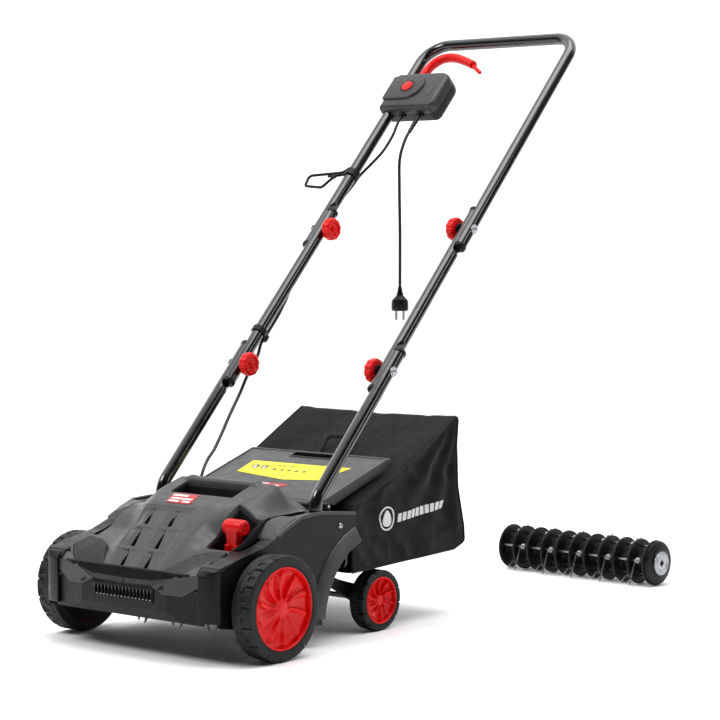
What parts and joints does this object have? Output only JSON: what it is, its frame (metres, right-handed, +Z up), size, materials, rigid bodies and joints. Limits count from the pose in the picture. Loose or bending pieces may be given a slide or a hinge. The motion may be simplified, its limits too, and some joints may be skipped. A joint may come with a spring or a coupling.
{
  "type": "lawn dethatcher",
  "caption": "Wheeled electric lawn dethatcher with folding tube handle, hand switch, rear flap, fabric grass bag, blade reel fitted and a spring-tine reel lying behind it.",
  "frame": {"origin": "middle of the footprint of the machine with its spare reel, on the ground", "axes": "+Z up, +Y to the rear towards the bag and handle, +X to the right seen from the front, along the axles"},
  "size_m": [0.6006, 1.2866, 1.1167],
  "materials": {
    "black_plastic": "fine-grained black moulded plastic",
    "grey_plastic": "fine-grained dark grey moulded plastic",
    "red_plastic": "satin red moulded plastic",
    "black_paint": "gloss black powder coat",
    "tyre": "ribbed hard black tread",
    "steel": "bright steel",
    "zinc": "zinc plated steel",
    "cast_alloy": "cast alloy",
    "rubber": "black rubber",
    "cord_skin": "black rubber cord skin",
    "fabric": "black woven polyester with a coated inside"
  },
  "bodies": {
    "machine": {"deck_shell": "black_plastic", "motor_hood": "grey_plastic", "front_grille": "black_plastic", "rear_axle": "zinc", "reel_bearing_left": "steel", "reel_bearing_right": "steel", "motor_body": "cast_alloy", "drive_belt": "rubber", "flap_hinge_pin": "zinc", "lower_tube_left": "black_paint", "lower_tube_right": "black_paint", "lower_bolt_left": "zinc", "lower_bolt_right": "zinc", "motor_cable_lower": "cord_skin"},
    "reel": {"blade_reel": "steel", "reel_pulley": "cast_alloy"},
    "rotor": {"motor_shaft": "steel"},
    "axle": {"front_axle": "zinc"},
    "lever": {"height_lever": "red_plastic"},
    "wheel_front_left": {"front_tyre_left": "tyre", "front_wheel_left": "red_plastic"},
    "wheel_front_right": {"front_tyre_right": "tyre", "front_wheel_right": "red_plastic"},
    "wheel_rear_left": {"rear_tyre_left": "tyre", "rear_wheel_left": "red_plastic"},
    "wheel_rear_right": {"rear_tyre_right": "tyre", "rear_wheel_right": "red_plastic"},
    "flap": {"rear_flap": "grey_plastic"},
    "bag": {"grass_bag": "fabric", "bag_frame": "zinc", "bag_carry_loop": "black_plastic"},
    "mid_handle": {"mid_tube_left": "black_paint", "mid_tube_right": "black_paint", "motor_cable_mid": "cord_skin", "cable_clip": "black_plastic"},
    "top_handle": {"upper_handle": "black_paint", "upper_bolt_left": "zinc", "upper_bolt_right": "zinc", "switch_box_front": "grey_plastic", "switch_box_back": "black_plastic", "mains_strain_relief": "cord_skin", "motor_cable_upper": "cord_skin", "cord_retainer": "black_plastic", "mains_cord": "cord_skin", "mains_plug": "black_plastic"},
    "lower_knob_left": {"lower_knob_left": "red_plastic"},
    "lower_knob_right": {"lower_knob_right": "red_plastic"},
    "upper_knob_left": {"upper_knob_left": "red_plastic"},
    "upper_knob_right": {"upper_knob_right": "red_plastic"},
    "bail": {"switch_lever": "red_plastic"},
    "button": {"safety_button": "red_plastic"},
    "spare_reel": {"spare_reel_core": "black_plastic", "spare_reel_end_cap": "black_plastic", "spare_reel_bearing": "steel", "spare_tine_bar_1": "steel", "spare_tine_bar_2": "steel", "spare_tine_bar_3": "steel", "spare_tine_bar_4": "steel"}
  },
  "joints": [
    {"name": "reel_spin", "type": "hinge", "parent": "machine", "child": "reel", "pos_m": [-0.01615, -0.45633, 0.08], "axis": [1, 0, 0], "continuous": true},
    {"name": "rotor_spin", "type": "hinge", "parent": "machine", "child": "rotor", "pos_m": [-0.01615, -0.43034, 0.201], "axis": [1, 0, 0], "continuous": true},
    {"name": "axle_turn", "type": "hinge", "parent": "machine", "child": "axle", "pos_m": [-0.01615, -0.57834, 0.112], "axis": [1, 0, 0], "range_deg": [-8, 8]},
    {"name": "lever_turn", "type": "hinge", "parent": "machine", "child": "lever", "pos_m": [-0.01615, -0.50433, 0.176], "axis": [1, 0, 0], "range_deg": [-22, 22]},
    {"name": "wheel_front_left_spin", "type": "hinge", "parent": "axle", "child": "wheel_front_left", "pos_m": [-0.25115, -0.51633, 0.09], "axis": [1, 0, 0], "continuous": true},
    {"name": "wheel_front_right_spin", "type": "hinge", "parent": "axle", "child": "wheel_front_right", "pos_m": [0.21885, -0.51633, 0.09], "axis": [1, 0, 0], "continuous": true},
    {"name": "wheel_rear_left_spin", "type": "hinge", "parent": "machine", "child": "wheel_rear_left", "pos_m": [-0.19415, -0.18133, 0.055], "axis": [1, 0, 0], "continuous": true},
    {"name": "wheel_rear_right_spin", "type": "hinge", "parent": "machine", "child": "wheel_rear_right", "pos_m": [0.16185, -0.18133, 0.055], "axis": [1, 0, 0], "continuous": true},
    {"name": "flap_lift", "type": "hinge", "parent": "machine", "child": "flap", "pos_m": [-0.01615, -0.31933, 0.238], "axis": [1, 0, 0], "range_deg": [0, 28]},
    {"name": "bag_off", "type": "slide", "parent": "machine", "child": "bag", "axis": [0, 0.9579, 0.287], "range_m": [0, 0.25]},
    {"name": "lower_fold", "type": "hinge", "parent": "machine", "child": "mid_handle", "pos_m": [-0.01615, -0.15283, 0.4675], "axis": [1, 0, 0], "range_deg": [0, 100]},
    {"name": "upper_fold", "type": "hinge", "parent": "mid_handle", "child": "top_handle", "pos_m": [-0.01615, 0.09015, 0.72356], "axis": [1, 0, 0], "range_deg": [0, 90]},
    {"name": "bail_squeeze", "type": "hinge", "parent": "top_handle", "child": "bail", "pos_m": [-0.17415, 0.36825, 1.01661], "axis": [0, -0.7254, 0.6884], "range_deg": [0, 9], "stiffness_Nm_per_rad": 2, "springref_deg": -6.88},
    {"name": "button_press", "type": "slide", "parent": "top_handle", "child": "button", "axis": [0, 0.7254, -0.6884], "range_m": [0, 0.004], "stiffness_N_per_m": 400, "springref_m": -0.001},
    {"name": "spare_reel_lift", "type": "slide", "parent": "machine", "child": "spare_reel", "axis": [0, 0, 1], "range_m": [0, 0.3]},
    {"name": "lower_knob_left_turn", "type": "hinge", "parent": "machine", "child": "lower_knob_left", "pos_m": [-0.17215, -0.15283, 0.4675], "axis": [1, 0, 0], "continuous": true},
    {"name": "upper_knob_left_turn", "type": "hinge", "parent": "top_handle", "child": "upper_knob_left", "pos_m": [-0.17215, 0.09015, 0.72356], "axis": [1, 0, 0], "continuous": true},
    {"name": "lower_knob_right_turn", "type": "hinge", "parent": "machine", "child": "lower_knob_right", "pos_m": [0.13985, -0.15283, 0.4675], "axis": [1, 0, 0], "continuous": true},
    {"name": "upper_knob_right_turn", "type": "hinge", "parent": "top_handle", "child": "upper_knob_right", "pos_m": [0.13985, 0.09015, 0.72356], "axis": [1, 0, 0], "continuous": true}
  ],
  "couplings": [
    {"joint": "rotor_spin", "follows": "reel_spin", "ratio": 2.1818},
    {"joint": "lever_turn", "follows": "axle_turn", "ratio": 2.75}
  ]
}
